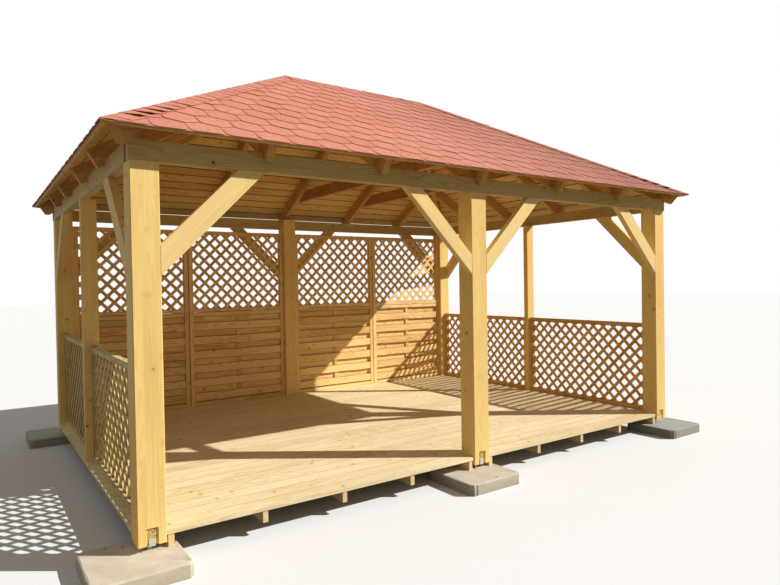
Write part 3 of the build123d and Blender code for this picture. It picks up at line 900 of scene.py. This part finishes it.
def shingle_tab():
    """One tab, lying on the boards: its point lowest and proud, its top thin under the next course."""
    middle_row = (TAB_LENGTH + TAB_POINT) / 2
    covered_from = EXPOSURE + TAB_POINT
    select_none()
    bpy.ops.mesh.primitive_grid_add(x_subdivisions=2, y_subdivisions=2, size=1)
    tab = settled("shingle_tab", (TAB - TAB_SLOT, TAB_LENGTH - TAB_POINT, 1), (0, middle_row, COVERED_TOP))
    edit_mode()
    pick(tab, lambda at: abs(at.y - middle_row) < HAIR)
    slide(y=covered_from - middle_row)
    pick(tab, lambda at: at.y < TAB_POINT + HAIR)
    slide(z=BUTT_TOP - COVERED_TOP - POINT_PROUD)
    pick(tab, lambda at: at.y < TAB_POINT + HAIR and abs(at.x) < HAIR)
    slide(y=-TAB_POINT, z=POINT_PROUD)
    pick(tab, lambda at: at.y > TAB_LENGTH - HAIR)
    slide(z=END_TOP - COVERED_TOP)
    pick(tab, lambda at: abs(at.y - TAB_POINT) < HAIR and abs(at.x) > HAIR)
    bpy.ops.mesh.bevel(offset=TAB_CORNER, segments=2, affect="VERTICES")
    bpy.ops.mesh.select_all(action="SELECT")
    bpy.ops.mesh.extrude_region_move(TRANSFORM_OT_translate={"value": (0, 0, -SHINGLE_THICK)})
    pick(tab, lambda at: at.z < 0)
    bpy.ops.transform.resize(value=(1, 1, 0), center_override=(0, 0, UNDERSIDE))
    bpy.ops.mesh.select_all(action="SELECT")
    bpy.ops.mesh.normals_make_consistent(inside=False)
    object_mode()
    mark_cut_and_shaded_edges(tab, lambda middle, normal: normal.z < 0.7 or middle.y > covered_from)
    return tab


tab_random = Random(5)


def course_of_tabs(tab, number, half):
    """One strip of tabs across a slope, every tab a little lifted and toned by itself."""
    start = FIRST_POINT + (TAB / 2 if number % 2 else 0)
    reach = half + COURSE_SPARE - max(0, number - 1) * EXPOSURE * cos(PITCH)
    first = int((-reach - start) / TAB) - 1
    tabs = []
    for i in range(first, int((reach - start) / TAB) + 2):
        middle = start + i * TAB
        made = copy_of(tab, Matrix.Translation((middle, 0, 0)))
        lift = tab_random.random() ** 2 * TAB_LIFT
        lean = (tab_random.random() - 0.5) * TAB_LEAN
        for vertex in made.data.vertices:
            if vertex.co.y < TAB_POINT / 2:
                vertex.co.z += lift
            elif vertex.co.y < TAB_POINT + TAB_CORNER * 1.2:
                vertex.co.z += lift * 0.4 + lean * (1 if vertex.co.x > middle else -1)
        mark_tone(made, tab_random.random())
        tabs.append(made)
    course = join(tabs, "shingle_course")
    course.data.transform(Matrix.Translation((0, FIRST_COURSE + number * EXPOSURE, ROOF_BOARD)))
    if number == 0:
        cut_away(course, (0, SHINGLE_FOOT, 0), (0, -1, 0))
    return course


felt_red = felt()
tab = shingle_tab()
for side, (half, place) in SLOPES.items():
    starter_size = (2 * (half + PAST_CORNER), STARTER_WIDTH, STARTER_THICK)
    starter_middle = (0, SHINGLE_FOOT + STARTER_WIDTH / 2, ROOF_BOARD + STARTER_THICK / 2)
    starter = new_block("starter_strip", starter_size, starter_middle)
    mark_tone(starter, 0.5)
    mark_cut_and_shaded_edges(starter, lambda middle, normal: normal.z < 0.7)
    layers = [starter]
    for parity in (0, 1):
        courses = [course_of_tabs(tab, number, half) for number in range(parity, COURSES, 2)]
        layers.append(join(courses, "shingle_layer"))
    for layer in layers:
        layer.data.transform(TILT_UP)
        cut_to_slope(layer, half, FELT_INSET)
    cover = join(layers, f"shingle_tabs_{side}")
    cover.data.transform(place)
    dress(cover, felt_red, "shingle_felt")
    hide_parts(f"shingles_{side}")
drop(tab)


# Hip and ridge caps
# Single tabs cut from the same felt are bent over the hips and the ridge, point down, and
# lapped from the eaves up, with every lower edge standing a little proud.
CAP_HALF = TAB / 2
CAP_LENGTH = 0.200
CAP_EXPOSURE = 0.104
CAP_THICK = 0.0030
CAP_RISE = 0.0034
CAP_BEND_SHIFT = 0.010
CAP_BEND_RISE = 0.4 * CAP_RISE
CAP_CURL = 0.0015
FOOT_CAP_RISES = (0.0, 0.001, 0.015, 0.012, 0.010, 0.008, 0.005, 0.003)
CAP_STRAY = 0.007
CAP_TWIST = radians(2.2)
CAP_BEDDING = 0.001
EAVE_OUT = EAVE_REACH + FELT_OVERHANG * cos(PITCH)
RIDGE_HALF = HALF_X - HALF_Y
RIDGE_TOP = RAFTER_TOP + HALF_Y * tan(PITCH)
FIRST_CAP_OUT = 0.020
HIP_END_SPARE = 0.080
RIDGE_END_SPARE = 0.040
UNDER_RIDGE_CAP = 0.012
RIDGE_CAP_NOSE = 0.017
RIDGE_CAP_LIFT = 0.0035


def cap(fold):
    """One bent cap, X up the run, its crown on the X axis and both wings falling by fold."""
    select_none()
    bpy.ops.mesh.primitive_grid_add(x_subdivisions=2, y_subdivisions=4, size=1)
    made = settled("cap_shingle", (CAP_LENGTH, 2 * CAP_HALF, 1), (CAP_LENGTH / 2, 0, 0))
    edit_mode()
    pick(made, lambda at: at.x < HAIR)
    slide(z=CAP_RISE)
    for share in (0.5, 1.0):
        pick(made, lambda at: abs(abs(at.y) - share * CAP_HALF) < HAIR)
        slide(z=-share * CAP_HALF * fold)
        pick(made, lambda at: at.x < HAIR and abs(abs(at.y) - share * CAP_HALF) < HAIR)
        slide(x=share * TAB_POINT)
    pick(made, lambda at: abs(at.x - CAP_LENGTH / 2) < HAIR)
    slide(x=CAP_BEND_SHIFT, z=CAP_BEND_RISE)
    bpy.ops.mesh.select_all(action="SELECT")
    bpy.ops.mesh.extrude_region_move(TRANSFORM_OT_translate={"value": (0, 0, CAP_THICK)})
    bpy.ops.mesh.select_all(action="SELECT")
    bpy.ops.mesh.normals_make_consistent(inside=False)
    object_mode()
    mark_cut_and_shaded_edges(made, lambda middle, normal: abs(normal.x) > 0.7 or abs(normal.y) > 0.9 or normal.z < -0.1)
    return made


cap_random = Random(8)


def run_of_caps(piece, run_frame, length, lift, foot_rises=()):
    """Caps lapped up a run, each a little askew, the lowest ones curled up at their corners."""
    caps = []
    for i in range(int(length / CAP_EXPOSURE) + 1):
        made = copy_of(piece, Matrix.Identity(4))
        rise = foot_rises[i] if i < len(foot_rises) else CAP_CURL * cap_random.random()
        for vertex in made.data.vertices:
            if vertex.co.x < TAB_POINT + HAIR:
                vertex.co.z += rise * abs(vertex.co.y) / CAP_HALF
        stray = (cap_random.random() - 0.5) * CAP_STRAY
        twist = Matrix.Rotation((cap_random.random() - 0.5) * CAP_TWIST, 4, "Z")
        made.data.transform(run_frame @ Matrix.Translation((i * CAP_EXPOSURE, stray, lift)) @ twist)
        mark_tone(made, cap_random.random())
        caps.append(made)
    return caps


hip_run = Vector((1, 1, tan(PITCH))).normalized()
hip_across = Vector((-1, 1, 0)).normalized()
hip_up = hip_run.cross(hip_across)
hip_to_slope = hip_up.z * cos(PITCH) - hip_up.y * sin(PITCH)
hip_foot = Vector((-HALF_X - EAVE_OUT, -HALF_Y - EAVE_OUT, RAFTER_TOP - EAVE_OUT * tan(PITCH)))
hip_frame = Matrix.Translation(hip_foot) @ Matrix((hip_run, hip_across, hip_up)).transposed().to_4x4()
first_frame = hip_frame @ Matrix.Translation((-FIRST_CAP_OUT, 0, 0))
hip_length = (HALF_Y + EAVE_OUT) / hip_run.y - HIP_END_SPARE
over_shingles = (ROOF_BOARD + BUTT_TOP - CAP_BEDDING) / hip_to_slope
hip_cap = cap(sin(PITCH) * hip_across.y / hip_to_slope)
caps = run_of_caps(hip_cap, first_frame, hip_length, over_shingles, FOOT_CAP_RISES)
for made in caps[:2]:
    cut_away(made, (-HALF_X - EAVE_OUT, 0, 0), (-1, 0, 0))
    cut_away(made, (0, -HALF_Y - EAVE_OUT, 0), (0, -1, 0))
for made in caps[-3:]:
    cut_away(made, (-RIDGE_HALF - UNDER_RIDGE_CAP, 0, 0), (1, 0, 0))
    cut_away(made, (-RIDGE_HALF - UNDER_RIDGE_CAP, 0, 0), (1, 1, 0))
drop(hip_cap)
first_run = join(caps, "hip_cap_run")
runs = [first_run, copy_of(first_run, Matrix.Rotation(pi, 4, "Z"))]
for mirror in ((-1, 1, 1, 1), (1, -1, 1, 1)):
    made = copy_of(first_run, Matrix.Diagonal(mirror))
    made.data.flip_normals()
    runs.append(made)
hip_caps = join(runs, "hip_cap_shingles")
dress(hip_caps, felt_red, "shingle_felt")
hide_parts("hip_caps")

ridge_cap = cap(tan(PITCH))
ridge_frame = Matrix.Translation((-RIDGE_HALF - RIDGE_CAP_NOSE, 0, RIDGE_TOP))
over_ridge = (ROOF_BOARD + RIDGE_CAP_LIFT) / cos(PITCH)
caps = run_of_caps(ridge_cap, ridge_frame, 2 * RIDGE_HALF - RIDGE_END_SPARE, over_ridge)
for made in caps[-2:]:
    cut_away(made, (RIDGE_HALF + RIDGE_CAP_NOSE, 0, 0), (1, 0, 0))
drop(ridge_cap)
ridge_caps = join(caps, "ridge_cap_shingles")
dress(ridge_caps, felt_red, "shingle_felt")
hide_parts("ridge_cap")


# Back wall panels
# Each panel is a spruce frame with two rows of slats nailed to a batten below, the back row
# over the gaps of the front row, and a lattice of crossed laths above, stapled together.
PANEL_WIDTH = 1.1105
PANEL_HEIGHT = 1.914
PANEL_THICK = 0.045
PANEL_MIDDLES = (-1.74475, -0.63025, 0.63025, 1.74475)
PANEL_Y = 1.6125
STILE = 0.048
RAIL = 0.040
BAR_EASED = 0.0025
SLAT_ZONE = 1.024
SLAT_START = 0.050
SLAT_COUNT = 7
SLAT_PITCH = 0.154
SLAT = 0.090
SLAT_THICK = 0.012
SLAT_SETBACK = 0.003
SLAT_EASED = 0.0038
SLAT_WAVE = 0.0034
SLAT_WAVE_CUTS = 9
SLAT_HALF_WAVES = (1.5, 5)
BATTEN = 0.045
LATH = 0.032
LATH_THICK = 0.008
LATH_PITCH = 0.088
LATH_EASED = 0.001
LEAST_LATH = 0.014
PANEL_TONES = ((252, 215, 148), (208, 154, 84), (108, 64, 28))
# Painted shade in the panels' seams, laid on the planks' eased edges and ends
PANEL_SEAM_SHADE = (56, 32, 14)
PANEL_SEEDS = 60.0
joinery_random = Random(21)


def plank(length, width, thick, eased):
    """A planed plank along X, its long edges eased, marked with its own grain and tone, and its
    eased edges and ends marked for painted seam shade.
    """
    piece = new_block("plank", (length, thick, width))
    edit_mode()
    pick(piece, lambda middle, run: abs(run.x) > length / 2, "EDGE")
    bpy.ops.mesh.bevel(offset=eased, segments=1)
    object_mode()
    layer = piece.data.attributes.new("grain", "FLOAT_VECTOR", "POINT")
    layer.data.foreach_set("vector", [value for vertex in piece.data.vertices for value in vertex.co])
    mark_tone(piece, joinery_random.random())
    mark_cut_and_shaded_edges(piece, lambda middle, normal: 0.2 < abs(normal.z) < 0.95 or abs(normal.x) > 0.9)
    return piece


def place_plank(piece, x, y, z, lean=0.0):
    """Sets a plank in its panel, turned by lean from level in the panel's plane."""
    piece.data.transform(Matrix.Translation((x, y, z)) @ Matrix.Rotation(-lean, 4, "Y"))
    return piece


def joinery_finish(name, tones):
    def place(tree, point):
        grain = add_node(tree, "Attribute", attribute_name="grain").outputs["Vector"]
        return grain, times(tree, read_mark(tree, "tone"), PANEL_SEEDS)

    # The joinery's marked edges and ends take painted seam shade
    return timber(name, tones, place, 0.5, 0.95, 1.3, spread=0.6, edge=(PANEL_SEAM_SHADE, seam_shade_mask))


def lattice(width, height, middle_z):
    """Two layers of crossed laths, cut to a panel's opening."""
    reach = (width + height) / 2
    step = LATH_PITCH * sqrt(2)
    laths = []
    for lean, y in ((radians(45), -LATH_THICK / 2), (radians(-45), LATH_THICK / 2)):
        for i in range(-int(reach / step), int(reach / step) + 1):
            if reach - abs(i * step) > LEAST_LATH:
                piece = plank(width + height, LATH, LATH_THICK, LATH_EASED)
                laths.append(place_plank(piece, i * step, y, middle_z, lean))
    laths = join(laths, "lattice")
    for side in (-1, 1):
        cut_away(laths, (side * width / 2, 0, 0), (side, 0, 0))
    for side in (-1, 1):
        cut_away(laths, (0, 0, middle_z + side * height / 2), (0, 0, side))
    return laths


def slats(width):
    """Sawn slats in front of and behind the batten, their edges never quite level."""
    face = (PANEL_THICK - SLAT_THICK) / 2 - SLAT_SETBACK
    pieces = []
    for y, shift in ((-face, 0), (face, -SLAT_PITCH / 2)):
        for i in range(SLAT_COUNT):
            low = max(SLAT_START + shift + i * SLAT_PITCH, RAIL)
            high = min(SLAT_START + shift + i * SLAT_PITCH + SLAT, SLAT_ZONE)
            slat = plank(width, high - low, SLAT_THICK, SLAT_EASED)
            edit_mode()
            pick(slat, lambda middle, run: abs(run.x) > width / 2, "EDGE")
            bpy.ops.mesh.subdivide(number_cuts=SLAT_WAVE_CUTS)
            object_mode()
            waves = []
            for _ in range(3):
                rate = pi * joinery_random.uniform(*SLAT_HALF_WAVES) / width
                waves.append((rate, 2 * pi * joinery_random.random()))
            for vertex in slat.data.vertices:
                edge_wave = waves[1 if vertex.co.z > 0 else 2]
                swell = sum(sin(vertex.co.x * rate + start) for rate, start in (waves[0], edge_wave))
                vertex.co.z += SLAT_WAVE * swell * 0.5
            pieces.append(place_plank(slat, 0, y, (low + high) / 2))
    return pieces


def framed(width, height, bar, rails):
    """Two stiles and the rails between them, each rail given by its lower edge and its height."""
    pieces = []
    for side in (-1, 1):
        stile = plank(height, bar, PANEL_THICK, BAR_EASED)
        pieces.append(place_plank(stile, side * (width - bar) / 2, 0, height / 2, pi / 2))
    for low, tall in rails:
        pieces.append(place_plank(plank(width - 2 * bar, tall, PANEL_THICK, BAR_EASED), 0, 0, low + tall / 2))
    return pieces


panel_wood = joinery_finish("panel_wood", PANEL_TONES)
panel_inner = PANEL_WIDTH - 2 * STILE
panel_rails = [(low, RAIL) for low in (0, SLAT_ZONE, PANEL_HEIGHT - RAIL)]
batten_thick = PANEL_THICK - 2 * (SLAT_SETBACK + SLAT_THICK)
lattice_low, lattice_high = SLAT_ZONE + RAIL, PANEL_HEIGHT - RAIL
for number, x in enumerate(PANEL_MIDDLES, 1):
    pieces = framed(PANEL_WIDTH, PANEL_HEIGHT, STILE, panel_rails) + slats(panel_inner)
    batten = plank(SLAT_ZONE - RAIL, BATTEN, batten_thick, LATH_EASED)
    pieces.append(place_plank(batten, 0, 0, (SLAT_ZONE + RAIL) / 2, pi / 2))
    pieces.append(lattice(panel_inner, lattice_high - lattice_low, (lattice_low + lattice_high) / 2))
    panel = join(pieces, f"wall_panel_joinery_{number}")
    panel.data.transform(Matrix.Translation((x, PANEL_Y, DECK_TOP)))
    dress(panel, panel_wood, "panel_wood")
    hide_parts(f"wall_panel_{number}")


# Trellis panels
# Low framed lattices stand between the posts on the left and right. The laths are stapled
# where they cross and held in a planed frame.
TRELLIS_WIDTH = 1.520
TRELLIS_HEIGHT = 0.869
TRELLIS_BAR = 0.042
TRELLIS_Y = 0.790
TRELLIS_X = {"left": -2.3775, "right": 2.3935}
TRELLIS_TONES = {
    "left": ((222, 200, 140), (178, 148, 92), (100, 68, 36)),
    "right": ((232, 190, 124), (186, 138, 80), (100, 60, 30)),
}

trellis_rails = [(0, TRELLIS_BAR), (TRELLIS_HEIGHT - TRELLIS_BAR, TRELLIS_BAR)]
trellis_opening = (TRELLIS_WIDTH - 2 * TRELLIS_BAR, TRELLIS_HEIGHT - 2 * TRELLIS_BAR)
for end in ("left", "right"):
    finish = joinery_finish(f"trellis_wood_{end}", TRELLIS_TONES[end])
    for place, side in (("front", -1), ("back", 1)):
        pieces = framed(TRELLIS_WIDTH, TRELLIS_HEIGHT, TRELLIS_BAR, trellis_rails)
        pieces.append(lattice(*trellis_opening, TRELLIS_HEIGHT / 2))
        panel = join(pieces, f"trellis_joinery_{end}_{place}")
        panel.data.transform(turned_to(90, (TRELLIS_X[end], side * TRELLIS_Y, DECK_TOP)))
        dress(panel, finish, "panel_wood")
        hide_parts(f"trellis_{end}_{place}")


# Floor and light
# A plain pale floor and a white surround, a sun from the front right, where the shadows in
# the photograph put it, and an even, slightly warm fill.
FLOOR_SIZE = 120
FLOOR_SEEN = (234, 236, 240)
FLOOR_LIT_BY = (112, 108, 98)
SUN_FROM = (0.659, -0.487, 0.573)
SUN_STRENGTH = 4.9
SUN_WIDTH = radians(0.7)
SUN_COLOUR = (1.0, 0.97, 0.92)
FILL_STRENGTH = 0.28
FILL_TINT = (1.0, 0.95, 0.86, 1.0)
WHITE = (1, 1, 1, 1)


def seen_directly(tree):
    """1 for what the camera, a reflection or a clear surface shows, and 0 for light on the object."""
    seen = add_node(tree, "LightPath").outputs
    shown = calc(tree, "MAXIMUM", seen["Is Camera Ray"], seen["Is Glossy Ray"])
    return calc(tree, "MAXIMUM", shown, seen["Is Transmission Ray"])


select_none()
bpy.ops.mesh.primitive_plane_add(size=FLOOR_SIZE)
floor = bpy.context.object
floor.name = "floor"
floor_material, tree, shader = new_material("floor_pale")
floor_colour = blend(tree, seen_directly(tree), tint(FLOOR_LIT_BY), tint(FLOOR_SEEN))
feed(tree, shader, {"Base Color": floor_colour, "Roughness": 0.95, "Specular IOR Level": 0.1})
floor.data.materials.append(floor_material)

sun_data = bpy.data.lights.new("key", "SUN")
sun_data.energy = SUN_STRENGTH
sun_data.angle = SUN_WIDTH
sun_data.color = SUN_COLOUR
sun = bpy.data.objects.new("key", sun_data)
bpy.context.scene.collection.objects.link(sun)
sun.matrix_world = (-Vector(SUN_FROM)).to_track_quat("-Z", "Y").to_matrix().to_4x4()

world = bpy.data.worlds.new("surround")
bpy.context.scene.world = world
world.use_nodes = True
tree = world.node_tree
tree.nodes.clear()
fill = add_node(tree, "Background", {"Color": FILL_TINT, "Strength": FILL_STRENGTH})
white = add_node(tree, "Background", {"Color": WHITE, "Strength": 1.0})
chosen = {0: seen_directly(tree), 1: fill.outputs[0], 2: white.outputs[0]}
add_node(tree, "OutputWorld", {"Surface": add_node(tree, "MixShader", chosen).outputs[0]})
